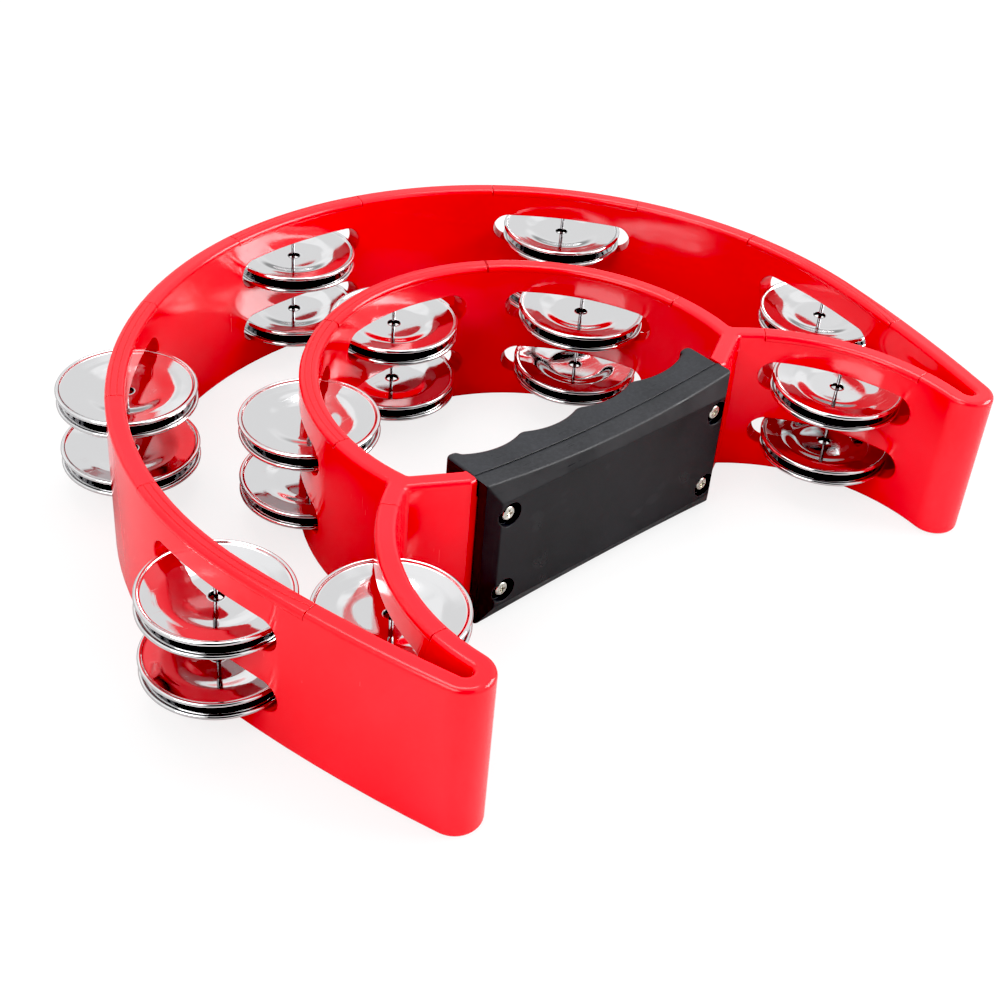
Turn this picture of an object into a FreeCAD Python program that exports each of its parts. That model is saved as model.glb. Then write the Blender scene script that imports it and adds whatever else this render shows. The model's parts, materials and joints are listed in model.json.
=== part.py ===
import FreeCAD, Part
import math
import os

from collections import namedtuple

from FreeCAD import Vector

# A hand-held half-moon tambourine: a moulded frame of two curved walls that meet in
# two tips, a screwed-on grip across the opening, and pairs of loose metal jingles.
# Millimetres and degrees. Bearings are measured from +Y, turning towards +X.
# The origin is the middle of the footprint, on the plane that the frame rests on.

# ---- Driving dimensions: moulded frame ----
FRAME_HEIGHT = 50.0
WALL = 5.8                     # thickness of every curved wall
EDGE_ROUND = 1.5               # round on the top and bottom edges of the walls
OUTER_RADIUS = 126.0           # outside of the big wall
OUTER_SWEEP = 99.0             # bearing where the big wall starts to flatten
TIP_RADIUS = 420.0             # flatter arc of the big wall, out to the tip
NOSE_RADIUS = 7.7              # round end of each tip
RING_RADIUS = 71.0             # outside of the small wall around the hand room
HORN_CENTRE = Vector(32.0, -71.5, 0)   # centre of each front wall, from the arcs' centre
HORN_RADIUS = 62.5             # front surface of each front wall
STUB_ANGLE = 28.5              # slope of the short walls that run into the grip
CORNER_ROUND = 1.5             # upright corners where walls meet

# ---- Driving dimensions: jingle slots, pins and the caps over them ----
OUTER_PIN_BEARINGS = (0.0, 47.4, 95.3)
RING_PIN_BEARINGS = (0.0, 56.0)
HORN_PIN_BEARING = 65.0        # about the front wall's own centre
SLOT_LENGTH = 49.0
SLOT_HEIGHT = 10.0
ROW_PITCH = 21.0               # between the lower and the upper row of slots
PIN_RADIUS = 0.6
PIN_CHAMFER = 0.15
PIN_RUNNING_GAP = 0.05         # radial, so that a pin turns in the frame
PIN_FLOOR = 3.0                # frame left under the foot of a pin
PIN_END_GAP = 0.1              # between the head of a pin and the cap over it
SLOT_ROUND = 0.4               # round on the rims of the slots
CAP_DEPTH = 2.0                # a cap is the top of the wall, as wide as the wall
CAP_END_GAP = 0.2              # seen as a fine seam across the wall
CAP_REACH_BACK = 26.2          # along the wall, from the pin to the cap's end
CAP_REACH_SIDE = 33.0
CAP_REACH_HORN = 26.0

# ---- Driving dimensions: jingles ----
JINGLE_RADIUS = 21.0
JINGLE_HOLE_RADIUS = 1.9
JINGLE_SHEET = 0.5             # sheet metal thickness
CUP_RADIUS = 9.0               # flat middle around the hole
FLANK_RADIUS = 14.8            # where the flank around the flat middle ends
FLANK_RISE = 1.3
RIM_RISE = 0.5                 # from the flank's end out to the curled edge
RIM_BEAD = 0.65                # radius of the curled edge
BEND_ROUND = 1.5
JINGLE_REST_GAP = 0.6          # under a pair, above the slot's floor
PAIR_GAP = 0.1                 # between the two jingles of a pair

# ---- Driving dimensions: grip ----
GRIP_LENGTH = 99.0
GRIP_SPLIT_Y = -26.5           # plane between the front cover and the rear grip
GRIP_FRONT_Y = -35.0           # flat front panel
GRIP_SHOULDER_Y = -32.0        # where the bevel around the panel starts
GRIP_RIDGE_Y = -16.0
GRIP_GROOVE_DEPTH = 2.5
GROOVE_COUNT = 4
GROOVE_PITCH = 22.4
RIDGE_ROUND = 4.0
GRIP_LOBE_Y = -14.4            # rear of the rounded lobe at each end
LOBE_WIDTH = 4.2
LOBE_ROUND = 2.0
GRIP_WAIST = 2.5               # dip of the grip's top and bottom at mid length
COVER_STEP = 0.3               # front cover's top and bottom below the rear grip's
PANEL_HALF_LENGTH = 45.5
PANEL_HALF_HEIGHT = 18.5
GRIP_WALL = 2.4                # front and rear walls of the hollow grip halves
GRIP_END_WALL = 3.4
CAVITY_HALF_HEIGHT = 20.0
GRIP_EDGE_ROUND = 1.2
COVER_EDGE_ROUND = 0.8
STUB_GAP = 0.2                 # between the grip's ends and the frame
STUB_BEND_GAP = 1.4            # from the grip's end to the middle of a stub's bend
CORE_Y = -25.6                 # middle of the bar inside the grip
CORE_HALF_HEIGHT = 19.0
CORE_GAP = 0.2                 # around the bar

# ---- Driving dimensions: grip screws ----
SCREW_X = 42.3
SCREW_Z = 13.5                 # above and below the middle height
SCREW_HEAD_RADIUS = 2.3
SCREW_HEAD_HEIGHT = 1.4
SCREW_HEAD_ROUND = 0.7
SCREW_SHANK_RADIUS = 1.2
SCREW_HOLE_GAP = 0.05          # stands in for the thread
SCREW_TIP_Y = -18.4
SCREW_TIP_GAP = 0.3            # between a screw's tip and the bottom of its hole
COUNTERBORE_RADIUS = 3.9
COUNTERBORE_DEPTH = 2.0
POST_WALL = 1.6
RECESS_LENGTH = 2.6
RECESS_WIDTH = 0.6
RECESS_DEPTH = 0.7

MID_HEIGHT = FRAME_HEIGHT / 2
ARC_CENTRE = Vector(0, 0, 0)
UP = Vector(0, 0, 1)
SLOT_CUT_REACH = 6.0           # how far a slot's cutter reaches past the wall's surfaces
FACE_CUT_REACH = 1.0           # how far a counterbore's cutter reaches past the panel
CLOSE = 1e-3                   # two lengths nearer than this are the same


# ---- Plan geometry ----
def at_bearing(centre, radius, bearing):
    angle = math.radians(bearing)
    return centre + Vector(radius * math.sin(angle), radius * math.cos(angle), 0)


def bearing_of(centre, point):
    return math.degrees(math.atan2(point.x - centre.x, point.y - centre.y))


def circles_meet(centre_a, radius_a, centre_b, radius_b):
    """The meeting point of two circles that lies nearer the back (higher y)."""
    span = centre_b - centre_a
    along = (span.Length ** 2 + radius_a ** 2 - radius_b ** 2) / (2 * span.Length)
    across = math.sqrt(radius_a ** 2 - along ** 2)
    unit = Vector(span).normalize()
    side = Vector(-unit.y, unit.x, 0)
    points = [centre_a + unit * along + side * (across * sign) for sign in (-1, 1)]
    return max(points, key=lambda point: point.y)


def line_meets_circle(point, direction, centre, radius):
    """Where a ray from a point inside a circle leaves it."""
    start = point - centre
    half = start.dot(direction)
    reach = -half + math.sqrt(half ** 2 - start.dot(start) + radius ** 2)
    return point + direction * reach


def arc(centre, radius, start, end):
    """A short-way arc about a centre, between two points on it."""
    first = bearing_of(centre, start)
    sweep = (bearing_of(centre, end) - first + 180) % 360 - 180
    middle = at_bearing(centre, radius, first + sweep / 2)
    return Part.Arc(start, middle, end).toShape()


def line(start, end):
    return Part.makeLine(start, end)


def prism_of(half_outline, height):
    """Extrude the outline made of half an outline and its mirror image in X = 0."""
    other_half = [edge.mirror(Vector(0, 0, 0), Vector(1, 0, 0)) for edge in half_outline]
    wire = Part.Wire(Part.__sortEdges__(half_outline + other_half))
    return Part.Face(wire).extrude(UP * height)


tip_centre = at_bearing(ARC_CENTRE, OUTER_RADIUS - TIP_RADIUS, OUTER_SWEEP)
nose_centre = circles_meet(tip_centre, TIP_RADIUS - NOSE_RADIUS, HORN_CENTRE, HORN_RADIUS + NOSE_RADIUS)
stub_along = Vector(math.cos(math.radians(STUB_ANGLE)), math.sin(math.radians(STUB_ANGLE)), 0)
stub_forward = Vector(stub_along.y, -stub_along.x, 0)
stub_foot_x = GRIP_LENGTH / 2 + STUB_BEND_GAP


def converging_end(end_round):
    """Round end between the big wall's and a front wall's surfaces, about the nose's centre."""
    to_big_wall = (nose_centre - tip_centre).normalize()
    to_horn = (HORN_CENTRE - nose_centre).normalize()
    forward = (to_big_wall + to_horn).normalize()
    points = [nose_centre + way * end_round for way in (to_big_wall, forward, to_horn)]
    return points, Part.Arc(*points).toShape()


def stub_line(rearward_offset):
    """Where a stub's surface bends into the core bar's surface, just outside the grip."""
    shift = rearward_offset * (1 - stub_along.x) / stub_along.y
    return Vector(stub_foot_x - shift, CORE_Y + rearward_offset, 0)


def stub_corner(stub_point, open_side, centre, radius):
    """Upright round between a stub's surface and a wall's surface that encloses it."""
    start = stub_point + open_side * CORNER_ROUND
    middle = line_meets_circle(start, stub_along, centre, radius - CORNER_ROUND)
    on_stub = middle - open_side * CORNER_ROUND
    on_wall = middle + (middle - centre).normalize() * CORNER_ROUND
    return on_stub, on_wall, arc(middle, CORNER_ROUND, on_stub, on_wall)


def pocket_corner():
    """Upright round between the small wall's outside and a front wall's rear surface."""
    rear_radius = HORN_RADIUS + WALL
    middle = circles_meet(ARC_CENTRE, RING_RADIUS + CORNER_ROUND, HORN_CENTRE, rear_radius + CORNER_ROUND)
    on_ring = middle + (ARC_CENTRE - middle).normalize() * CORNER_ROUND
    on_horn = middle + (HORN_CENTRE - middle).normalize() * CORNER_ROUND
    return on_ring, on_horn, arc(middle, CORNER_ROUND, on_horn, on_ring)


def silhouette_half():
    """Right half of the frame's outline: big wall, tip, front wall, stub and core bar."""
    half_wall = WALL / 2
    back = Vector(0, OUTER_RADIUS, 0)
    flat_start = at_bearing(ARC_CENTRE, OUTER_RADIUS, OUTER_SWEEP)
    nose_points, nose = converging_end(NOSE_RADIUS)
    bend = stub_line(-half_wall)
    on_stub, on_horn, corner = stub_corner(bend, stub_forward, HORN_CENTRE, HORN_RADIUS)
    return [
        arc(ARC_CENTRE, OUTER_RADIUS, back, flat_start),
        arc(tip_centre, TIP_RADIUS, flat_start, nose_points[0]),
        nose,
        arc(HORN_CENTRE, HORN_RADIUS, nose_points[2], on_horn),
        corner,
        line(on_stub, bend),
        line(bend, Vector(0, CORE_Y - half_wall, 0)),
    ]


def pocket_half():
    """Right half of the crescent pocket between the big wall and the inner walls."""
    big_inside = OUTER_RADIUS - WALL
    back = Vector(0, big_inside, 0)
    flat_start = at_bearing(ARC_CENTRE, big_inside, OUTER_SWEEP)
    end_points, end = converging_end(NOSE_RADIUS - WALL)
    on_ring, on_horn, corner = pocket_corner()
    return [
        arc(ARC_CENTRE, big_inside, back, flat_start),
        arc(tip_centre, TIP_RADIUS - WALL, flat_start, end_points[0]),
        end,
        arc(HORN_CENTRE, HORN_RADIUS + WALL, end_points[2], on_horn),
        corner,
        arc(ARC_CENTRE, RING_RADIUS, on_ring, Vector(0, RING_RADIUS, 0)),
    ]


def hand_room_half():
    """Right half of the hand room between the small wall and the core bar."""
    half_wall = WALL / 2
    inside = RING_RADIUS - WALL
    bend = stub_line(half_wall)
    on_stub, on_ring, corner = stub_corner(bend, -stub_forward, ARC_CENTRE, inside)
    return [
        arc(ARC_CENTRE, inside, Vector(0, inside, 0), on_ring),
        corner,
        line(on_stub, bend),
        line(bend, Vector(0, CORE_Y + half_wall, 0)),
    ]


# ---- Where the pins stand ----
Station = namedtuple("Station", "name centre radius bearing reach mirrored")


def pin_stations():
    """Every place with a pin, on a wall's middle line. Left ones mirror the right ones."""
    mid_outer = OUTER_RADIUS - WALL / 2
    mid_ring = RING_RADIUS - WALL / 2
    mid_horn = HORN_RADIUS + WALL / 2
    plan = [
        ("outer_back", ARC_CENTRE, mid_outer, OUTER_PIN_BEARINGS[0], CAP_REACH_BACK),
        ("outer_rear", ARC_CENTRE, mid_outer, OUTER_PIN_BEARINGS[1], CAP_REACH_BACK),
        ("outer_side", ARC_CENTRE, mid_outer, OUTER_PIN_BEARINGS[2], CAP_REACH_SIDE),
        ("ring_back", ARC_CENTRE, mid_ring, RING_PIN_BEARINGS[0], CAP_REACH_SIDE),
        ("ring_side", ARC_CENTRE, mid_ring, RING_PIN_BEARINGS[1], CAP_REACH_SIDE),
        ("horn", HORN_CENTRE, mid_horn, HORN_PIN_BEARING, CAP_REACH_HORN),
    ]
    stations = []
    for name, centre, radius, bearing, reach in plan:
        if bearing == 0:
            stations.append(Station(name, centre, radius, bearing, reach, False))
            continue
        stations.append(Station(name + "_right", centre, radius, bearing, reach, False))
        stations.append(Station(name + "_left", centre, radius, bearing, reach, True))
    return stations


def on_its_side(shape, station):
    """A shape made for the right side, mirrored if its station is on the left."""
    return shape.mirror(Vector(0, 0, 0), Vector(1, 0, 0)) if station.mirrored else shape


def at_station(shape, station):
    """Put a shape drawn across a wall that faces +Y at a station."""
    moved = shape.copy()
    moved.rotate(Vector(0, 0, 0), UP, -station.bearing)
    moved.translate(at_bearing(station.centre, station.radius, station.bearing))
    return on_its_side(moved, station)


# ---- Moulded frame ----
def slot_cutter(middle_height):
    """A round-ended slot through a wall, drawn for a wall that faces +Y."""
    end_round = SLOT_HEIGHT / 2
    straight = SLOT_LENGTH - SLOT_HEIGHT
    depth = WALL + 2 * SLOT_CUT_REACH
    slot = Part.makeBox(straight, depth, SLOT_HEIGHT, Vector(-straight / 2, 0, -end_round))
    for x in (-straight / 2, straight / 2):
        slot = slot.fuse(Part.makeCylinder(end_round, depth, Vector(x, 0, 0), Vector(0, 1, 0)))
    slot.translate(Vector(0, -depth / 2, middle_height))
    return slot.removeSplitter()


def cap_spans(station, grow):
    """Arcs of the wall's middle line under a cap: centre, radius, first and last bearing."""
    spread = math.degrees((station.reach + grow) / station.radius)
    first = station.bearing - spread
    last = station.bearing + spread
    if station.centre == HORN_CENTRE or last <= OUTER_SWEEP:
        return [(station.centre, station.radius, first, last)]
    tip_radius = TIP_RADIUS - WALL / 2
    turn = (last - OUTER_SWEEP) * station.radius / tip_radius
    return [
        (station.centre, station.radius, first, OUTER_SWEEP),
        (tip_centre, tip_radius, OUTER_SWEEP, OUTER_SWEEP + turn),
    ]


def cap_block(station, grow):
    """A block that holds the top of the wall over a pin; grow lengthens it at both ends."""
    edges, ends = [], []
    for shift in (-WALL, WALL):
        points = []
        for centre, radius, first, last in cap_spans(station, grow):
            start = at_bearing(centre, radius + shift, first)
            end = at_bearing(centre, radius + shift, last)
            edges.append(arc(centre, radius + shift, start, end))
            points += [start, end]
        ends.append((points[0], points[-1]))
    edges += [line(ends[0][0], ends[1][0]), line(ends[0][1], ends[1][1])]
    face = Part.Face(Part.Wire(Part.__sortEdges__(edges)))
    face.translate(UP * (FRAME_HEIGHT - CAP_DEPTH))
    return on_its_side(face.extrude(UP * CAP_DEPTH), station)


def edges_at_height(shape, height):
    """The level edges of a shape that lie at one height."""
    def level(edge):
        box = edge.BoundBox
        return abs(box.ZMin - height) < CLOSE and abs(box.ZMax - height) < CLOSE
    return [edge for edge in shape.Edges if level(edge)]


def slot_heights():
    return (MID_HEIGHT - ROW_PITCH / 2, MID_HEIGHT + ROW_PITCH / 2)


def slot_rims(frame):
    """The edges where the slots open through the surfaces of the walls."""
    rims = []
    for edge in frame.Edges:
        box = edge.BoundBox
        in_a_slot = any(box.ZMin > middle - SLOT_HEIGHT / 2 - CLOSE
                        and box.ZMax < middle + SLOT_HEIGHT / 2 + CLOSE for middle in slot_heights())
        sides = frame.ancestorsOfType(edge, Part.Face)
        if in_a_slot and any(side.BoundBox.ZLength > SLOT_HEIGHT for side in sides):
            rims.append(edge)
    return rims


def rod(x, z, radius, from_y, to_y):
    """A round bar or hole that runs front to back."""
    return Part.makeCylinder(radius, to_y - from_y, Vector(x, from_y, z), Vector(0, 1, 0))


def screw_places():
    return [(x, z) for x in (-SCREW_X, SCREW_X) for z in (MID_HEIGHT - SCREW_Z, MID_HEIGHT + SCREW_Z)]


def make_walls():
    """The walls with their rounded edges, before any slot, hole or cap is cut."""
    walls = prism_of(silhouette_half(), FRAME_HEIGHT)
    walls = walls.cut(prism_of(pocket_half(), FRAME_HEIGHT))
    walls = walls.cut(prism_of(hand_room_half(), FRAME_HEIGHT)).removeSplitter()
    outline = edges_at_height(walls, 0) + edges_at_height(walls, FRAME_HEIGHT)
    return walls.makeFillet(EDGE_ROUND, outline)


def make_frame(walls):
    frame = walls.copy()
    for station in pin_stations():
        for middle_height in slot_heights():
            frame = frame.cut(at_station(slot_cutter(middle_height), station))
    frame = frame.makeFillet(SLOT_ROUND, slot_rims(frame))

    pin_hole = Part.makeCylinder(PIN_RADIUS + PIN_RUNNING_GAP, FRAME_HEIGHT, UP * PIN_FLOOR)
    for station in pin_stations():
        frame = frame.cut(at_station(pin_hole, station))
        frame = frame.cut(cap_block(station, CAP_END_GAP))

    half_length = GRIP_LENGTH / 2 + STUB_GAP
    core_cut = MID_HEIGHT - CORE_HALF_HEIGHT
    for base in (0, FRAME_HEIGHT - core_cut):
        corner = Vector(-half_length, GRIP_FRONT_Y, base)
        frame = frame.cut(Part.makeBox(2 * half_length, GRIP_RIDGE_Y - GRIP_FRONT_Y, core_cut, corner))
    for x, z in screw_places():
        frame = frame.cut(rod(x, z, SCREW_SHANK_RADIUS + CORE_GAP, GRIP_FRONT_Y, GRIP_RIDGE_Y))
    return frame


# ---- Pins and jingles ----
def make_pin():
    length = FRAME_HEIGHT - CAP_DEPTH - PIN_END_GAP - PIN_FLOOR
    pin = Part.makeCylinder(PIN_RADIUS, length, UP * PIN_FLOOR)
    return pin.makeChamfer(PIN_CHAMFER, edges_at_height(pin, PIN_FLOOR + length))


def dish_height():
    return FLANK_RISE + RIM_RISE + JINGLE_SHEET / 2 + RIM_BEAD


def make_dish():
    """One jingle with its rim upwards, its flat middle standing on the origin."""
    steps = [
        (JINGLE_HOLE_RADIUS, 0.0),
        (CUP_RADIUS, 0.0),
        (FLANK_RADIUS, FLANK_RISE),
        (JINGLE_RADIUS - RIM_BEAD, FLANK_RISE + RIM_RISE),
    ]
    under = [Vector(radius, 0, height) for radius, height in steps]
    over = [point + UP * JINGLE_SHEET for point in reversed(under)]
    profile = Part.Face(Part.makePolygon(under + over + under[:1]))
    dish = profile.revolve(Vector(0, 0, 0), UP, 360)
    bends = []
    for edge in dish.Edges:
        is_circle = isinstance(edge.Curve, Part.Circle)
        if is_circle and JINGLE_HOLE_RADIUS < edge.Curve.Radius < JINGLE_RADIUS - RIM_BEAD:
            bends.append(edge)
    dish = dish.makeFillet(BEND_ROUND, bends)
    bead_middle = Vector(0, 0, dish_height() - RIM_BEAD)
    return dish.fuse(Part.makeTorus(JINGLE_RADIUS - RIM_BEAD, RIM_BEAD, bead_middle))


def make_jingle(dish, slot_floor, is_upper):
    """The upper jingle of a pair opens upwards; the lower one is the same, turned over."""
    jingle = dish.copy()
    base = slot_floor + JINGLE_REST_GAP + dish_height()
    if is_upper:
        base += PAIR_GAP
    else:
        jingle.rotate(Vector(0, 0, 0), Vector(1, 0, 0), 180)
    jingle.translate(UP * base)
    return jingle


# ---- Grip ----
def grip_waist(step):
    """The block between the grip's hollowed top and bottom, each pulled in by a step."""
    half = GRIP_LENGTH / 2
    top = FRAME_HEIGHT - step
    top_right = Vector(half, GRIP_FRONT_Y, top)
    top_left = Vector(-half, GRIP_FRONT_Y, top)
    low_right = Vector(half, GRIP_FRONT_Y, step)
    low_left = Vector(-half, GRIP_FRONT_Y, step)
    edges = [
        Part.Arc(top_left, Vector(0, GRIP_FRONT_Y, top - GRIP_WAIST), top_right).toShape(),
        line(top_right, low_right),
        Part.Arc(low_right, Vector(0, GRIP_FRONT_Y, step + GRIP_WAIST), low_left).toShape(),
        line(low_left, top_left),
    ]
    return Part.Face(Part.Wire(edges)).extrude(Vector(0, GRIP_LOBE_Y - GRIP_FRONT_Y, 0))


def grip_cavity(from_y, to_y):
    half = GRIP_LENGTH / 2 - GRIP_END_WALL
    corner = Vector(-half, from_y, MID_HEIGHT - CAVITY_HALF_HEIGHT)
    cavity = Part.makeBox(2 * half, to_y - from_y, 2 * CAVITY_HALF_HEIGHT, corner)
    core_front = CORE_Y - WALL / 2 - CORE_GAP
    core_rear = CORE_Y + WALL / 2 + CORE_GAP
    core_corner = Vector(-GRIP_LENGTH, core_front, MID_HEIGHT - CORE_HALF_HEIGHT - CORE_GAP)
    core_height = 2 * (CORE_HALF_HEIGHT + CORE_GAP)
    return cavity.fuse(Part.makeBox(2 * GRIP_LENGTH, core_rear - core_front, core_height, core_corner))


def rectangle(half_length, half_height, y):
    """A closed upright rectangle, facing the front."""
    corners = []
    for x_sign, z_sign in ((-1, -1), (1, -1), (1, 1), (-1, 1)):
        corners.append(Vector(x_sign * half_length, y, MID_HEIGHT + z_sign * half_height))
    return Part.makePolygon(corners + corners[:1])


def make_front_cover():
    """Front half of the grip: a flat panel with a bevel all round it."""
    half = GRIP_LENGTH / 2
    height = FRAME_HEIGHT - 2 * COVER_STEP
    corner = Vector(-half, GRIP_SHOULDER_Y, COVER_STEP)
    back = Part.makeBox(2 * half, GRIP_SPLIT_Y - GRIP_SHOULDER_Y, height, corner)
    shoulder = rectangle(half, height / 2, GRIP_SHOULDER_Y)
    panel = rectangle(PANEL_HALF_LENGTH, PANEL_HALF_HEIGHT, GRIP_FRONT_Y)
    cover = back.fuse(Part.makeLoft([shoulder, panel], True, True)).removeSplitter()
    cover = cover.common(grip_waist(COVER_STEP))
    outside = [edge for edge in cover.Edges if edge.BoundBox.YMin < GRIP_SHOULDER_Y - CLOSE]
    cover = cover.makeFillet(COVER_EDGE_ROUND, outside)
    posts = Part.makeCompound([
        rod(x, z, COUNTERBORE_RADIUS + POST_WALL, GRIP_FRONT_Y, CORE_Y - WALL / 2 - CORE_GAP)
        for x, z in screw_places()
    ])
    hollow = grip_cavity(GRIP_FRONT_Y + GRIP_WALL, GRIP_SPLIT_Y).cut(posts)
    cover = cover.cut(hollow)
    for x, z in screw_places():
        seat_y = GRIP_FRONT_Y + COUNTERBORE_DEPTH
        cover = cover.cut(rod(x, z, COUNTERBORE_RADIUS, GRIP_FRONT_Y - FACE_CUT_REACH, seat_y))
        cover = cover.cut(rod(x, z, SCREW_SHANK_RADIUS + CORE_GAP, seat_y, GRIP_SPLIT_Y))
    return cover


def grip_outline():
    """Plan of the rear grip: a lobe at each end and one shallow arc for each finger."""
    half = GRIP_LENGTH / 2
    wave_half = GROOVE_COUNT * GROOVE_PITCH / 2
    edges = []
    for index in range(GROOVE_COUNT):
        left = index * GROOVE_PITCH - wave_half
        first = Vector(left, GRIP_RIDGE_Y, 0)
        middle = Vector(left + GROOVE_PITCH / 2, GRIP_RIDGE_Y - GRIP_GROOVE_DEPTH, 0)
        last = Vector(left + GROOVE_PITCH, GRIP_RIDGE_Y, 0)
        edges.append(Part.Arc(first, middle, last).toShape())
    right_end = [
        Vector(wave_half, GRIP_RIDGE_Y, 0),
        Vector(half - LOBE_WIDTH, GRIP_LOBE_Y, 0),
        Vector(half, GRIP_LOBE_Y, 0),
        Vector(half, GRIP_SPLIT_Y, 0),
    ]
    left_end = [Vector(-point.x, point.y, 0) for point in reversed(right_end)]
    corners = right_end + left_end
    edges += [line(start, end) for start, end in zip(corners, corners[1:])]
    return edges


def upright_edges(shape, is_wanted):
    """The upright edges of a shape whose place in plan is wanted."""
    def upright(edge):
        return edge.BoundBox.XLength < CLOSE and edge.BoundBox.YLength < CLOSE
    return [edge for edge in shape.Edges if upright(edge) and is_wanted(edge.Vertexes[0].Point)]


def make_rear_grip():
    """Rear half of the grip: finger grooves, end lobes, screw posts behind the core bar."""
    outline = Part.Face(Part.Wire(Part.__sortEdges__(grip_outline())))
    grip = outline.extrude(Vector(0, 0, FRAME_HEIGHT))
    wave_half = GROOVE_COUNT * GROOVE_PITCH / 2

    def is_ridge(point):
        return abs(point.y - GRIP_RIDGE_Y) < CLOSE and abs(point.x) < wave_half - CLOSE

    def is_lobe(point):
        return abs(point.y - GRIP_LOBE_Y) < CLOSE

    grip = grip.makeFillet(RIDGE_ROUND, upright_edges(grip, is_ridge))
    grip = grip.makeFillet(LOBE_ROUND, upright_edges(grip, is_lobe))
    grip = grip.common(grip_waist(0))
    outside = [edge for edge in grip.Edges if edge.BoundBox.YMax > GRIP_SPLIT_Y + CLOSE]
    grip = grip.makeFillet(GRIP_EDGE_ROUND, outside)
    posts = Part.makeCompound([
        rod(x, z, SCREW_SHANK_RADIUS + POST_WALL, CORE_Y + WALL / 2 + CORE_GAP, GRIP_RIDGE_Y)
        for x, z in screw_places()
    ])
    rear_wall_y = GRIP_RIDGE_Y - GRIP_GROOVE_DEPTH - GRIP_WALL
    grip = grip.cut(grip_cavity(GRIP_SPLIT_Y, rear_wall_y).cut(posts))
    for x, z in screw_places():
        hole_end = SCREW_TIP_Y + SCREW_TIP_GAP
        grip = grip.cut(rod(x, z, SCREW_SHANK_RADIUS + SCREW_HOLE_GAP, GRIP_SPLIT_Y, hole_end))
    return grip


def make_screw(x, z):
    """A cross-recess screw, head to the front."""
    seat_y = GRIP_FRONT_Y + COUNTERBORE_DEPTH
    head = rod(x, z, SCREW_HEAD_RADIUS, seat_y - SCREW_HEAD_HEIGHT, seat_y)
    rim = [edge for edge in head.Edges if abs(edge.BoundBox.YMax - (seat_y - SCREW_HEAD_HEIGHT)) < CLOSE]
    head = head.makeFillet(SCREW_HEAD_ROUND, rim)
    screw = head.fuse(rod(x, z, SCREW_SHANK_RADIUS, seat_y, SCREW_TIP_Y)).removeSplitter()
    face_y = seat_y - SCREW_HEAD_HEIGHT
    for length, height in ((RECESS_LENGTH, RECESS_WIDTH), (RECESS_WIDTH, RECESS_LENGTH)):
        corner = Vector(x - length / 2, face_y, z - height / 2)
        screw = screw.cut(Part.makeBox(length, RECESS_DEPTH, height, corner))
    return screw


# ---- Write the pieces ----
def footprint_middle():
    """Middle of the footprint in Y, from the arcs' centre."""
    back = OUTER_RADIUS - WALL / 2 + JINGLE_RADIUS
    front = nose_centre.y - NOSE_RADIUS
    return (back + front) / 2


def write(name, shape):
    piece = shape.copy()
    piece.translate(Vector(0, -footprint_middle(), 0))
    piece.exportStep(os.path.join("parts", name + ".step"))


os.makedirs("parts", exist_ok=True)

walls = make_walls()
write("frame_shell", make_frame(walls))
write("handle_front_cover", make_front_cover())
write("handle_rear_grip", make_rear_grip())
write("handle_screws", Part.makeCompound([make_screw(x, z) for x, z in screw_places()]))

wall_caps = {"outer": [], "ring": [], "horn": []}
dish = make_dish()
for station in pin_stations():
    wall_caps[station.name.split("_")[0]].append(walls.common(cap_block(station, 0)))
    write("pin_" + station.name, at_station(make_pin(), station))
    for row, middle_height in zip(("low", "high"), slot_heights()):
        slot_floor = middle_height - SLOT_HEIGHT / 2
        for letter, is_upper in (("a", False), ("b", True)):
            jingle = at_station(make_jingle(dish, slot_floor, is_upper), station)
            write("_".join(("jingle", station.name, row, letter)), jingle)
for wall, caps in wall_caps.items():
    write("pin_caps_" + wall, Part.makeCompound(caps))
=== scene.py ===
import json
import math
import random

import bpy
from mathutils import Matrix, Vector, noise


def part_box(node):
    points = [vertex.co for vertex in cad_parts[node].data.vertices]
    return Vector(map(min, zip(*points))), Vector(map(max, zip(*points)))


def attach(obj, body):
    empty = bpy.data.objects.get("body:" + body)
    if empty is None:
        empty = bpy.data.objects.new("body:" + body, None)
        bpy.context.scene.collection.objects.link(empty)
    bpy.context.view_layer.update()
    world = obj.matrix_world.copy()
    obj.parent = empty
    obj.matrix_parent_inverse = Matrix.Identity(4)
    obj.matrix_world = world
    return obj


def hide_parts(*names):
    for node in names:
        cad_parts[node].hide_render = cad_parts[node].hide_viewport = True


# Looks for the half-moon tambourine. The CAD nodes keep their shapes and get materials.
# The jingles are spun again as thin, slightly dented sheet-metal discs. Everything is in metres.

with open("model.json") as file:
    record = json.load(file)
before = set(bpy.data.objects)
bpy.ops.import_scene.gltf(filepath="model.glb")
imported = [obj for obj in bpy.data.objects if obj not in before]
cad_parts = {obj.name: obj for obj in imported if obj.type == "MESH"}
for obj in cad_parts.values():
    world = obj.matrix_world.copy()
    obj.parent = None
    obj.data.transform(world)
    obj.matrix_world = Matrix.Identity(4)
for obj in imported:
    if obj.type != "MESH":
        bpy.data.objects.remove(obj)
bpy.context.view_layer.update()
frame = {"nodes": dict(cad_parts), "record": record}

MM = 0.001

# ---- Walls, from the middle of their arcs ----
OUTER_RADIUS = 126.0 * MM
WALL = 5.8 * MM
RING_RADIUS = 71.0 * MM
GROOVE_SHARES = (0.30, 0.62)             # where the hair grooves lie, across a wall from outside
GROOVED_CAPS = ("pin_caps_outer", "pin_caps_ring")

# ---- Camera ----
CAMERA_AZIMUTH = math.radians(45.11)     # of the line of sight, from +Y towards +X
CAMERA_DIP = math.radians(36.81)         # of the line of sight, below the horizon
CAMERA_ROLL = math.radians(5.24)
CAMERA_DISTANCE = 473.2 * MM
CAMERA_LENS = 58.53
CAMERA_TARGET = Vector((-27.4, -42.46, 25.0)) * MM

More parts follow.
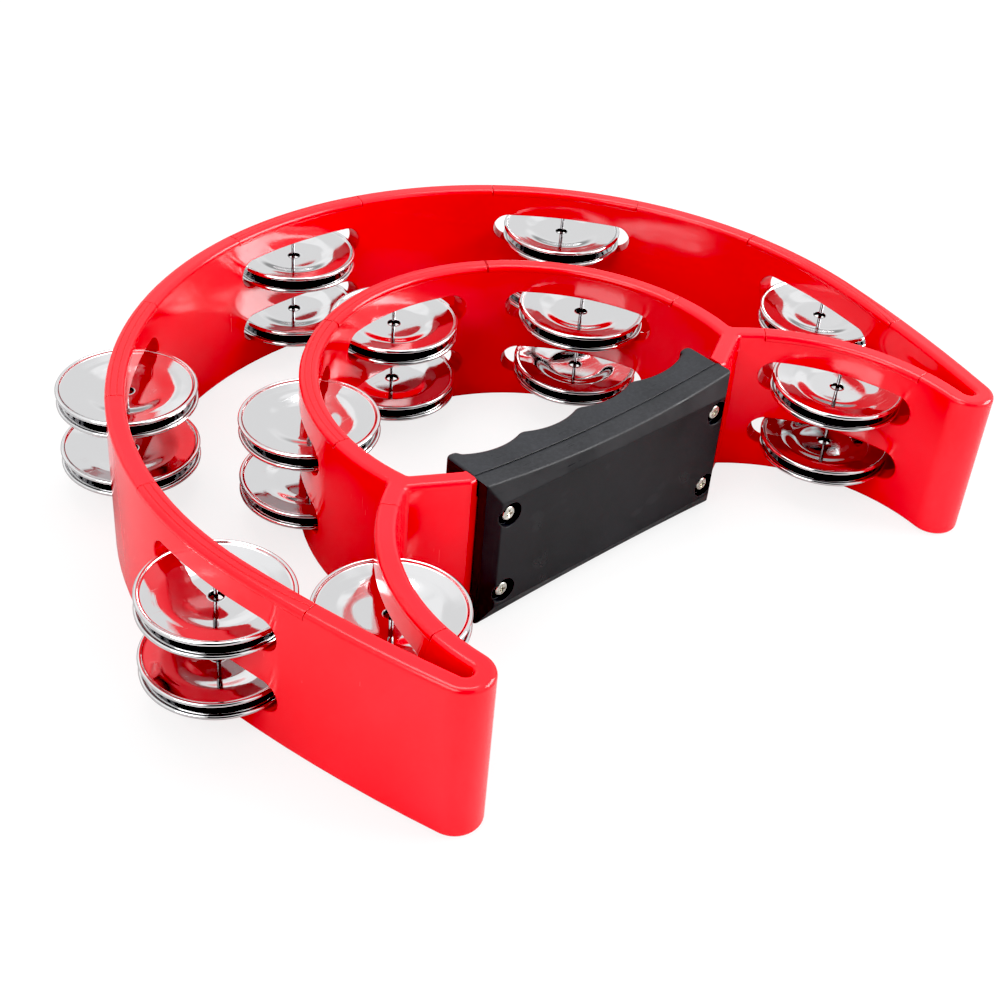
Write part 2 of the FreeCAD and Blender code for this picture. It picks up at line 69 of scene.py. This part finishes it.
# ---- Jingles, each drawn with its flat middle standing on its own origin ----
JINGLE_SHEET = 0.5 * MM
JINGLE_HOLE = 1.9 * MM
JINGLE_OUTSIDE = 21.0 * MM
BEAD = 0.65 * MM                         # radius of the curled rim
BEAD_START = math.radians(205)           # where the curl leaves the sheet's under side
BEAD_SWEEP = math.radians(310)
BEAD_JOIN = 0.9                          # where the sheet meets the curl, in bead radii
MIDDLE_RADIUS = 8.2 * MM                 # flat middle
FLANK_RADIUS = 15.6 * MM                 # outer end of the curved flank
FLANK_RISE = 1.3 * MM
RIM_RISE = 0.5 * MM
BEAD_CENTRE = JINGLE_OUTSIDE - BEAD
DENT = 0.13 * MM                         # scale of how far the sheet is out of true
DENT_SHARE = 0.45                        # of the shallow dents, beside the broad warp
WARP_CELLS = 0.045                       # per millimetre
DENT_CELLS = 0.16                        # per millimetre
VARIANT_STEP = (13.7, 5.1, 2.3)          # moves each variant to its own place in the noise
VARIANTS = 5
SPOKES = 128
SHEET_STEPS = 26
BEAD_STEPS = 18
LEAN = math.radians(1.0)                 # largest lean of a loose pair
LEAST_LEAN = 0.3                         # as a share of the largest
PAIR_SHIFT = 0.4 * MM                    # how far a pair rests inwards, within the play on its pin
LEAST_SHIFT = 0.5                        # as a share of the farthest
PAIR_SWAY = math.radians(35)             # of that rest, to either side
OWN_SHIFT = 0.1 * MM                     # of one jingle beside its pair
JINGLE_SEED = 11

# ---- Colours, linear ----
RED_DEEP = (0.80, 0.018, 0.026, 1.0)
RED_LIGHT = (0.87, 0.022, 0.034, 1.0)
# painted highlight along the edges of the red plastic: a lighter, pinker red
RED_EDGE_HIGHLIGHT = (0.9, 0.03, 0.04, 1.0)
# painted shade in the hair grooves: a darker red
RED_GROOVE_SHADE = (0.45, 0.0, 0.004, 1.0)
COVER_DEEP = (0.013, 0.013, 0.014, 1.0)
COVER_LIGHT = (0.022, 0.022, 0.024, 1.0)
GRIP_DEEP = (0.014, 0.0145, 0.016, 1.0)
GRIP_LIGHT = (0.022, 0.023, 0.026, 1.0)
# dust, with a painted lighter top: a light bluish grey on faces that look up
DUST_AND_TOP_LIGHT = (0.11, 0.115, 0.13, 1.0)
# painted highlight along the edges of the black plastic: a lighter grey
BLACK_EDGE_HIGHLIGHT = (0.13, 0.13, 0.135, 1.0)
CHROME = (0.82, 0.82, 0.83, 1.0)
# painted shade for the jingles: near black, in the gap of a pair and round the hole
CHROME_PAINTED_SHADE = (0.012, 0.012, 0.012, 1.0)
PIN_STEEL = (0.38, 0.38, 0.39, 1.0)
SCREW_STEEL = (0.92, 0.90, 0.82, 1.0)
TARNISHED = 0.6                          # brightness of tarnished steel, beside clean steel
RED_EDGE_HIGHLIGHT_SHARE = 0.25                           # how much of a tint shows at its strongest; on the edges this tint is a painted highlight
GROOVE_SHADE_SHARE = 0.65
BLACK_EDGE_HIGHLIGHT_SHARE = 0.30
DUST_AND_TOP_LIGHT_TINT = 0.20

# ---- Patterns in the materials, in cells per metre ----
RED_CLOUDS = 22.0
RED_SMEARS = 60.0
SINK_WAVES = 35.0
ORANGE_PEEL = 1400.0
BLACK_CLOUDS = 55.0
DUST_SPECKS = 900.0
COVER_GRAIN = 1500.0
GRIP_GRAIN = 2200.0
SMUDGES = 90.0
TARNISH = 900.0
DRAWING_LINES = 5000.0

# ---- The part of each pattern's values over which it fades from 0 to 1 ----
CLOUD_BAND = (0.3, 0.7)
SMEAR_BAND = (0.45, 0.75)
SPECK_BAND = (0.35, 0.75)
TARNISH_BAND = (0.35, 0.7)

# ---- Finish of each material ----
RED_ROUGHNESS = (0.10, 0.20)
BLACK_ROUGHNESS = (0.36, 0.52)
CHROME_ROUGHNESS = (0.035, 0.12)
PIN_ROUGHNESS = (0.15, 0.35)
SCREW_ROUGHNESS = (0.18, 0.35)
RED_GLOSS = 1.5                          # index of refraction
BLACK_GLOSS = 1.42
EDGE_REACH = 0.5 * MM                    # how far rounding and the painted edge highlight reach from a sharp edge
EDGE_MATCH = 0.75                        # cosine of the rounding's turn where the painted edge highlight is full
DUST_AND_TOP_LIGHT_SLOPE = (0.3, 0.9)                  # upward part of the normal, from none to full dust and painted lighter top
THIN_DUST_AND_TOP_LIGHT = 0.45                         # share of the dust and painted lighter top between its specks
GAP_REACH = 4 * MM                       # how far a jingle looks for its neighbour, for the painted shade in the gap
GAP_BAND = (0.25, 0.6)                   # openness, from full painted shade to none
HOLE_SHADE_WIDTH = 0.5 * MM                    # width of the painted shade round a jingle's hole
GROOVE_HALF = (0.10 * MM, 0.28 * MM)     # half width of a hair groove: full depth, and its edge
LATHE_PITCH = 0.35 * MM
DRAWING_STRETCH = (1, 1, 0.02)
SCRATCH_STRETCH = (60, 2600, 60)
SCRATCH_TURNS = (0.4, 1.9, 2.8)          # radians
SCRATCH_TWIST = 0.7
SCRATCH_FADE = 0.05
RED_SCRATCHES = 0.70                     # noise above this is a scratch, so higher is sparser
BLACK_SCRATCHES = 0.66
CHROME_SCRATCHES = 0.69
PLASTIC_SCRATCH_CHANGE = 0.12            # of roughness
CHROME_SCRATCH_CHANGE = 0.1

# ---- Surroundings ----
SURROUND_WHITE = 0.85
SURROUND_DARK = 0.012                    # the dark card around the camera, seen only in reflections
TENT_LIGHT = 1.20                        # the other reflected tones, as shares of the white
TENT_SHADE = 0.98
TENT_HORIZON = 0.40
TENT_LAMP = 1.35
DARK_CARD_EDGE = (0.78, 0.84)            # cosine of the angle from the camera
HORIZON_EDGE = (0.10, 0.22)              # height of a direction, 1 being straight up
LAMP_EDGE = (0.80, 0.86)
PATCH_EDGE = (0.42, 0.50)
PATCH_CELLS = 2.6
FLOOR_HALF = 6.0
FLOOR_DROP = 0.1 * MM                    # below the part, so that their faces don't share a plane
FLOOR_WHITE = 0.9
FLOOR_GLOW = 0.8                         # share of the floor that shows no shadow
FLOOR_IN_GLOSS = 0.50                    # how bright the floor looks in reflections
BLACK_POINT = 0.035
SOFTBOXES = (                            # name, place, size, power, strength in reflections
    ("softbox_left", (-0.9, -0.2, 0.8), (0.6, 0.6), 5.0, 1.0),
    ("softbox_top", (0.1, 0.3, 1.2), (0.8, 0.5), 5.0, 1.0),
    ("softbox_right", (0.95, -0.75, 0.7), (0.9, 0.6), 16.0, 0.35),
)


class Shader:
    """A node material or world, built with short calls."""

    def __init__(self, owner):
        owner.use_nodes = True
        self.owner = owner
        self.tree = owner.node_tree
        self.tree.nodes.clear()

    def node(self, kind, inputs=None, **settings):
        made = self.tree.nodes.new("ShaderNode" + kind)
        for key, value in settings.items():
            setattr(made, key, value)
        for key, value in (inputs or {}).items():
            self.feed(made.inputs[key], value)
        return made

    def feed(self, socket, value):
        if isinstance(value, bpy.types.NodeSocket):
            self.tree.links.new(value, socket)
        else:
            socket.default_value = value

    def math(self, operation, first, second=0.0, clamp=False):
        made = self.node("Math", {0: first, 1: second}, operation=operation)
        made.use_clamp = clamp
        return made.outputs[0]

    def remap(self, value, low, high, to_low=0.0, to_high=1.0):
        """Map low..high onto to_low..to_high, with smooth ends."""
        made = self.node("MapRange", {"Value": value, "From Min": low, "From Max": high,
                                      "To Min": to_low, "To Max": to_high})
        made.interpolation_type = "SMOOTHSTEP"
        return made.outputs["Result"]

    def noise(self, where, scale, detail=2.0, rough=0.5):
        made = self.node("TexNoise", {"Vector": where, "Scale": scale, "Detail": detail,
                                      "Roughness": rough})
        return made.outputs["Fac"]

    def place(self, stretch=(1, 1, 1), turn=(0, 0, 0)):
        """The object's own coordinates, in metres, turned and stretched."""
        coords = self.node("TexCoord").outputs["Object"]
        made = self.node("Mapping", {"Vector": coords, "Rotation": turn, "Scale": stretch})
        return made.outputs[0]

    def mix(self, share, first, second):
        made = self.node("Mix", data_type="RGBA")
        self.feed(made.inputs["Factor"], share)
        self.feed(made.inputs["A"], first)
        self.feed(made.inputs["B"], second)
        return made.outputs["Result"]

    def bump(self, height, distance, normal=None, strength=1.0):
        made = self.node("Bump", {"Height": height, "Distance": distance, "Strength": strength})
        if normal is not None:
            self.feed(made.inputs["Normal"], normal)
        return made.outputs["Normal"]

    def finish(self, **inputs):
        named = {key.replace("_", " "): value for key, value in inputs.items()}
        principled = self.node("BsdfPrincipled", named)
        output = self.node("OutputMaterial")
        self.feed(output.inputs["Surface"], principled.outputs[0])
        return self.owner


def new_material(name):
    return Shader(bpy.data.materials.new(name))


def gray(level):
    return (level, level, level, 1.0)


def fine_scratches(shader, threshold):
    """Thin, straight scuffs in a few directions: 1 on a scratch, 0 elsewhere."""
    total = None
    for turn in SCRATCH_TURNS:
        along = shader.place(SCRATCH_STRETCH, (turn, turn * SCRATCH_TWIST, turn))
        lines = shader.noise(along, 1.0, detail=2.0)
        mask = shader.remap(lines, threshold, threshold + SCRATCH_FADE)
        total = mask if total is None else shader.math("MAXIMUM", total, mask)
    return total


def soft_edges(shader):
    """The rounded normal near sharp edges, and a mask: 1 on an edge, 0 away from it."""
    rounded = shader.node("Bevel", {"Radius": EDGE_REACH}, samples=4).outputs["Normal"]
    plain = shader.node("NewGeometry").outputs["Normal"]
    match = shader.node("VectorMath", {0: rounded, 1: plain}, operation="DOT_PRODUCT")
    return rounded, shader.remap(match.outputs["Value"], EDGE_MATCH, 1.0, 1.0, 0.0)


def cap_grooves(shader):
    """Two hair grooves along the tops of the walls, over the pins: 1 in a groove, 0 elsewhere."""
    shell_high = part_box("frame_shell")[1]
    to_arc_centre = Vector((0, OUTER_RADIUS - shell_high.y, 0))
    coords = shader.node("TexCoord").outputs["Object"]
    flat = shader.node("Mapping", {"Vector": coords, "Location": to_arc_centre, "Scale": (1, 1, 0)})
    radius = shader.node("VectorMath", {0: flat.outputs[0]}, operation="LENGTH").outputs["Value"]
    total = None
    for outside in (OUTER_RADIUS, RING_RADIUS):
        for share in GROOVE_SHARES:
            off = shader.math("SUBTRACT", radius, outside - WALL * share)
            line = shader.remap(shader.math("ABSOLUTE", off), *GROOVE_HALF, 1.0, 0.0)
            total = line if total is None else shader.math("MAXIMUM", total, line)
    return total


def red_gloss_plastic(name, has_grooves):
    """Injection-moulded glossy red, with soft sink waves, handling smears and hair scratches."""
    shader = new_material(name)
    where = shader.place()
    rounded, edges = soft_edges(shader)
    cloud = shader.noise(where, RED_CLOUDS, detail=3.0)
    tone = shader.mix(shader.remap(cloud, *CLOUD_BAND), RED_DEEP, RED_LIGHT)
    # Painted highlight: a lighter, pinker red along the sharp edges.
    tone = shader.mix(shader.math("MULTIPLY", edges, RED_EDGE_HIGHLIGHT_SHARE), tone, RED_EDGE_HIGHLIGHT)
    scratches = fine_scratches(shader, RED_SCRATCHES)
    smears = shader.noise(where, RED_SMEARS, detail=4.0, rough=0.6)
    smears = shader.remap(smears, *SMEAR_BAND, *RED_ROUGHNESS)
    dulled = shader.math("MULTIPLY", scratches, PLASTIC_SCRATCH_CHANGE)
    roughness = shader.math("ADD", smears, dulled)
    waves = shader.noise(where, SINK_WAVES, detail=1.0)
    peel = shader.noise(where, ORANGE_PEEL, detail=2.0)
    normal = shader.bump(waves, distance=0.6 * MM, normal=rounded, strength=0.35)
    normal = shader.bump(peel, distance=0.006 * MM, normal=normal, strength=0.6)
    normal = shader.bump(scratches, distance=-0.004 * MM, normal=normal, strength=0.6)
    if has_grooves:
        grooves = cap_grooves(shader)
        # Painted shade: the hair grooves are darkened in colour as well as bumped.
        tone = shader.mix(shader.math("MULTIPLY", grooves, GROOVE_SHADE_SHARE), tone, RED_GROOVE_SHADE)
        normal = shader.bump(grooves, distance=-0.12 * MM, normal=normal, strength=0.8)
    return shader.finish(Base_Color=tone, Roughness=roughness, IOR=RED_GLOSS, Normal=normal)


def black_plastic(name, tone_low, tone_high, grain):
    """Satin black moulded plastic: spark-eroded grain, painted highlights on the edges, dust and a
    painted lighter top where it faces up.
    """
    shader = new_material(name)
    where = shader.place()
    rounded, edges = soft_edges(shader)
    cloud = shader.noise(where, BLACK_CLOUDS, detail=4.0, rough=0.6)
    cloud = shader.remap(cloud, *CLOUD_BAND)
    tone = shader.mix(cloud, tone_low, tone_high)
    geometry = shader.node("NewGeometry").outputs["Normal"]
    facing_up = shader.node("SeparateXYZ", {0: geometry}).outputs["Z"]
    speckle = shader.noise(where, DUST_SPECKS, detail=3.0, rough=0.7)
    speckle = shader.remap(speckle, *SPECK_BAND, THIN_DUST_AND_TOP_LIGHT, 1.0)
    dust_and_top_light = shader.math("MULTIPLY", shader.remap(facing_up, *DUST_AND_TOP_LIGHT_SLOPE), speckle)
    # Dust, and a painted lighter top: faces that look up get a lighter, bluish grey.
    tone = shader.mix(shader.math("MULTIPLY", dust_and_top_light, DUST_AND_TOP_LIGHT_TINT), tone, DUST_AND_TOP_LIGHT)
    # Painted highlight: a lighter grey along the sharp edges.
    tone = shader.mix(shader.math("MULTIPLY", edges, BLACK_EDGE_HIGHLIGHT_SHARE), tone, BLACK_EDGE_HIGHLIGHT)
    scratches = fine_scratches(shader, BLACK_SCRATCHES)
    roughness = shader.remap(cloud, 0.0, 1.0, *BLACK_ROUGHNESS)
    polished = shader.math("MULTIPLY", scratches, PLASTIC_SCRATCH_CHANGE)
    roughness = shader.math("SUBTRACT", roughness, polished)
    pits = shader.noise(where, grain, detail=3.0, rough=0.7)
    normal = shader.bump(pits, distance=0.03 * MM, normal=rounded, strength=0.5)
    normal = shader.bump(scratches, distance=-0.01 * MM, normal=normal, strength=0.5)
    return shader.finish(Base_Color=tone, Roughness=roughness, IOR=BLACK_GLOSS, Normal=normal)


def jingle_chrome():
    """Bright plated sheet: lathe rings, smudges, and painted shade in the hole and in the pair's
    gap.
    """
    shader = new_material("jingle_chrome")
    where = shader.place()
    flat = shader.place((1, 1, 0))
    radius = shader.node("VectorMath", {0: flat}, operation="LENGTH").outputs["Value"]
    rings = shader.math("SINE", shader.math("MULTIPLY", radius, 2 * math.pi / LATHE_PITCH))
    smudge = shader.noise(where, SMUDGES, detail=3.0, rough=0.6)
    smudge = shader.remap(smudge, *SMEAR_BAND, *CHROME_ROUGHNESS)
    scratches = fine_scratches(shader, CHROME_SCRATCHES)
    dulled = shader.math("MULTIPLY", scratches, CHROME_SCRATCH_CHANGE)
    roughness = shader.math("ADD", smudge, dulled)
    # Painted shade: the tone goes near black where ambient occlusion finds the pair's gap, and
    # round the hole.
    open_to = shader.node("AmbientOcclusion", {"Distance": GAP_REACH}, samples=6).outputs["AO"]
    out_of_gap = shader.remap(open_to, *GAP_BAND)
    out_of_hole = shader.remap(radius, JINGLE_HOLE, JINGLE_HOLE + HOLE_SHADE_WIDTH)
    unshaded = shader.math("MULTIPLY", out_of_gap, out_of_hole)
    tone = shader.mix(unshaded, CHROME_PAINTED_SHADE, CHROME)
    normal = shader.bump(rings, distance=0.0006 * MM)
    normal = shader.bump(scratches, distance=-0.002 * MM, normal=normal)
    return shader.finish(Base_Color=tone, Metallic=1.0, Roughness=roughness, Normal=normal)


def drawn_steel(name, tone, roughness_range):
    """Plain steel for pins and screws, with drawing lines and a little tarnish."""
    shader = new_material(name)
    where = shader.place()
    tarnish = shader.noise(where, TARNISH, detail=3.0, rough=0.6)
    tarnish = shader.remap(tarnish, *TARNISH_BAND)
    base = shader.mix(tarnish, tone, tuple(TARNISHED * part for part in tone[:3]) + (1.0,))
    roughness = shader.remap(tarnish, 0.0, 1.0, *roughness_range)
    lines = shader.noise(shader.place(DRAWING_STRETCH), DRAWING_LINES, detail=2.0)
    normal = shader.bump(lines, distance=0.01 * MM)
    return shader.finish(Base_Color=base, Metallic=1.0, Roughness=roughness, Normal=normal)


MATERIALS = {
    "red_gloss_plastic": red_gloss_plastic("red_gloss_plastic", has_grooves=False),
    "red_gloss_caps": red_gloss_plastic("red_gloss_caps", has_grooves=True),
    "black_cover_plastic": black_plastic(
        "black_cover_plastic", COVER_DEEP, COVER_LIGHT, COVER_GRAIN),
    "black_grip_plastic": black_plastic(
        "black_grip_plastic", GRIP_DEEP, GRIP_LIGHT, GRIP_GRAIN),
    "jingle_chrome": jingle_chrome(),
    "pin_steel": drawn_steel("pin_steel", PIN_STEEL, PIN_ROUGHNESS),
    "screw_steel": drawn_steel("screw_steel", SCREW_STEEL, SCREW_ROUGHNESS),
}

SLOT_OF = {row["node"]: row["material_slot"] for row in frame["record"]["subparts"]}


# ---- Jingles: a spun dish in a few dented variants ----
def smooth(share):
    """Ease from 0 to 1, level at both ends."""
    share = min(1.0, max(0.0, share))
    return share * share * (3 - 2 * share)


def dish_height(radius):
    """Height of the middle of the sheet above the underside of the flat middle."""
    flank = smooth((radius - MIDDLE_RADIUS) / (FLANK_RADIUS - MIDDLE_RADIUS))
    rim = max(0.0, (radius - FLANK_RADIUS) / (BEAD_CENTRE - FLANK_RADIUS))
    return JINGLE_SHEET / 2 + FLANK_RISE * flank + RIM_RISE * rim


def dish_section():
    """Closed section of one dish as (radius, height): under side, curled rim, upper side, hole."""
    inside = BEAD_CENTRE - BEAD * BEAD_JOIN
    radii = [JINGLE_HOLE + (inside - JINGLE_HOLE) * i / SHEET_STEPS
             for i in range(SHEET_STEPS + 1)]
    under = [(r, dish_height(r) - JINGLE_SHEET / 2) for r in radii]
    over = [(r, dish_height(r) + JINGLE_SHEET / 2) for r in reversed(radii)]
    bead_height = dish_height(BEAD_CENTRE)
    bead = []
    for i in range(BEAD_STEPS + 1):
        angle = BEAD_START + BEAD_SWEEP * i / BEAD_STEPS
        bead.append((BEAD_CENTRE + BEAD * math.cos(angle),
                     bead_height + BEAD * math.sin(angle)))
    return under + bead + over


def dented(x, y, seed):
    """How far the sheet is out of true beyond its flat middle: a broad warp and shallow dents."""
    at = Vector((x, y, 0.0)) / MM
    shift = Vector([seed * step for step in VARIANT_STEP])
    warp = noise.noise(at * WARP_CELLS + shift)
    dents = noise.noise(at * DENT_CELLS + shift * 2)
    beyond = (math.hypot(x, y) - MIDDLE_RADIUS) / (FLANK_RADIUS - MIDDLE_RADIUS)
    return DENT * (warp + DENT_SHARE * dents) * smooth(beyond)


def make_dish_mesh(variant):
    mesh = bpy.data.meshes.new(f"jingle_dish_{variant}")
    section = dish_section()
    verts = []
    for spoke in range(SPOKES):
        angle = 2 * math.pi * spoke / SPOKES
        for radius, height in section:
            x, y = radius * math.cos(angle), radius * math.sin(angle)
            verts.append((x, y, height + dented(x, y, variant + 1)))
    count = len(section)
    faces = []
    for spoke in range(SPOKES):
        here, there = spoke * count, (spoke + 1) % SPOKES * count
        for i in range(count):
            j = (i + 1) % count
            faces.append((here + i, there + i, there + j, here + j))
    mesh.from_pydata(verts, [], faces)
    mesh.polygons.foreach_set("use_smooth", [True] * len(faces))
    mesh.materials.append(MATERIALS["jingle_chrome"])
    return mesh


def inward_rest(chance, contact):
    """Where a loose pair has slid to: towards the middle of the object, a little to one side."""
    inward = -Vector((contact.x, contact.y, 0)).normalized()
    sway = Matrix.Rotation(chance.uniform(-PAIR_SWAY, PAIR_SWAY), 3, "Z")
    return sway @ inward * PAIR_SHIFT * chance.uniform(LEAST_SHIFT, 1.0)


def place_pair(pair, dishes, chance):
    """Two dishes that meet at their flat middles: a with its rim down, b with its rim up."""
    under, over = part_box(pair + "_a"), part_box(pair + "_b")
    contact = (under[0] + under[1]) / 2
    contact.z = (under[1].z + over[0].z) / 2
    lean_axis = Matrix.Rotation(chance.uniform(0, 2 * math.pi), 3, "Z") @ Vector((1, 0, 0))
    lean = Matrix.Rotation(LEAN * chance.uniform(LEAST_LEAN, 1.0), 4, lean_axis)
    shift = inward_rest(chance, contact)
    for letter, flip in (("_a", Matrix.Rotation(math.pi, 4, "X")), ("_b", Matrix.Identity(4))):
        low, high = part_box(pair + letter)
        rest = Vector((0, 0, (high.z if letter == "_a" else low.z) - contact.z))
        turn = Matrix.Rotation(chance.uniform(0, 2 * math.pi), 4, "Z")
        own = Vector((chance.uniform(-1, 1), chance.uniform(-1, 1), 0)) * OWN_SHIFT
        dish = chance.choice(dishes).copy()
        dish.transform(lean @ Matrix.Translation(rest) @ flip @ turn)
        piece = bpy.data.objects.new((pair + letter).replace("jingle_", "dish_"), dish)
        piece.location = contact + shift + own
        bpy.context.scene.collection.objects.link(piece)
        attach(piece, pair + letter)
        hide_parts(pair + letter)


def place_jingles():
    chance = random.Random(JINGLE_SEED)
    dishes = [make_dish_mesh(variant) for variant in range(VARIANTS)]
    pairs = sorted({node[:-2] for node in frame["nodes"] if node.startswith("jingle_")})
    for pair in pairs:
        place_pair(pair, dishes, chance)


place_jingles()

for node, piece in frame["nodes"].items():
    piece.data.materials.clear()
    look = "red_gloss_caps" if node in GROOVED_CAPS else SLOT_OF[node]
    piece.data.materials.append(MATERIALS[look])
    for face in piece.data.polygons:
        face.material_index = 0


# ---- Floor, light and camera ----
def make_floor():
    mesh = bpy.data.meshes.new("floor")
    square = ((-1, -1), (1, -1), (1, 1), (-1, 1))
    corners = [(x * FLOOR_HALF, y * FLOOR_HALF, -FLOOR_DROP) for x, y in square]
    mesh.from_pydata(corners, [], [(0, 1, 2, 3)])
    floor = bpy.data.objects.new("floor", mesh)
    bpy.context.scene.collection.objects.link(floor)
    shader = new_material("pale_floor")
    glossy = shader.node("LightPath").outputs["Is Glossy Ray"]
    tone = shader.mix(glossy, gray(FLOOR_WHITE), gray(FLOOR_IN_GLOSS))
    paint = shader.node("BsdfDiffuse", {"Color": tone})
    glow = shader.node("Emission", {"Color": gray(1.0), "Strength": 1.0})
    seen = shader.node("LightPath").outputs["Is Camera Ray"]
    share = shader.math("MULTIPLY", seen, FLOOR_GLOW)
    blend = shader.node("MixShader", {0: share, 1: paint.outputs[0], 2: glow.outputs[0]})
    output = shader.node("OutputMaterial")
    shader.feed(output.inputs["Surface"], blend.outputs[0])
    mesh.materials.append(shader.owner)


def line_of_sight():
    return Vector((math.cos(CAMERA_DIP) * math.sin(CAMERA_AZIMUTH),
                   math.cos(CAMERA_DIP) * math.cos(CAMERA_AZIMUTH),
                   -math.sin(CAMERA_DIP)))


def make_world():
    """White all round. Reflections also find dark and light cards, as in a small photo tent."""
    world = bpy.data.worlds.new("studio")
    bpy.context.scene.world = world
    shader = Shader(world)
    direction = shader.node("TexCoord").outputs["Generated"]
    to_camera = -line_of_sight()
    facing = shader.node("VectorMath", {0: direction, 1: to_camera}, operation="DOT_PRODUCT")
    card = shader.remap(facing.outputs["Value"], *DARK_CARD_EDGE)
    height = shader.node("SeparateXYZ", {0: direction}).outputs["Z"]
    patches = shader.noise(direction, PATCH_CELLS, detail=1.0)
    tent = shader.mix(shader.remap(patches, *PATCH_EDGE), gray(TENT_SHADE), gray(TENT_LIGHT))
    tent = shader.mix(shader.remap(height, *HORIZON_EDGE, 1.0, 0.0), tent, gray(TENT_HORIZON))
    tent = shader.mix(shader.remap(height, *LAMP_EDGE), tent, gray(TENT_LAMP))
    tent = shader.mix(card, tent, gray(SURROUND_DARK))
    glossy = shader.node("LightPath").outputs["Is Glossy Ray"]
    tone = shader.mix(glossy, gray(1.0), tent)
    seen = shader.node("LightPath").outputs["Is Camera Ray"]
    tone = shader.mix(seen, tone, gray(1 / SURROUND_WHITE))
    background = shader.node("Background", {"Color": tone, "Strength": SURROUND_WHITE})
    output = shader.node("OutputWorld")
    shader.feed(output.inputs["Surface"], background.outputs[0])


def make_softbox(name, place, size, power, gloss):
    light = bpy.data.lights.new(name, "AREA")
    light.shape = "RECTANGLE"
    light.size, light.size_y = size
    light.energy = power
    light.specular_factor = gloss
    box = bpy.data.objects.new(name, light)
    box.location = place
    box.rotation_euler = (-Vector(place)).to_track_quat("-Z", "Y").to_euler()
    bpy.context.scene.collection.objects.link(box)


def print_look():
    """A crisp catalogue print: plain display, with the deepest shadows pulled down to black."""
    view = bpy.context.scene.view_settings
    view.view_transform = "Standard"
    view.use_curve_mapping = True
    view.curve_mapping.black_level = (BLACK_POINT, BLACK_POINT, BLACK_POINT)
    view.curve_mapping.update()


def make_camera():
    forward = line_of_sight()
    right = forward.cross(Vector((0, 0, 1))).normalized()
    up = right.cross(forward)
    rolled_right = right * math.cos(CAMERA_ROLL) + up * math.sin(CAMERA_ROLL)
    rolled_up = up * math.cos(CAMERA_ROLL) - right * math.sin(CAMERA_ROLL)
    data = bpy.data.cameras.new("camera")
    data.lens = CAMERA_LENS
    data.clip_start = 10 * MM
    camera = bpy.data.objects.new("camera", data)
    turn = Matrix((rolled_right, rolled_up, -forward)).transposed()
    stand = Matrix.Translation(CAMERA_TARGET - forward * CAMERA_DISTANCE)
    camera.matrix_world = stand @ turn.to_4x4()
    bpy.context.scene.collection.objects.link(camera)
    bpy.context.scene.camera = camera


make_floor()
make_world()
for softbox in SOFTBOXES:
    make_softbox(*softbox)
make_camera()
print_look()
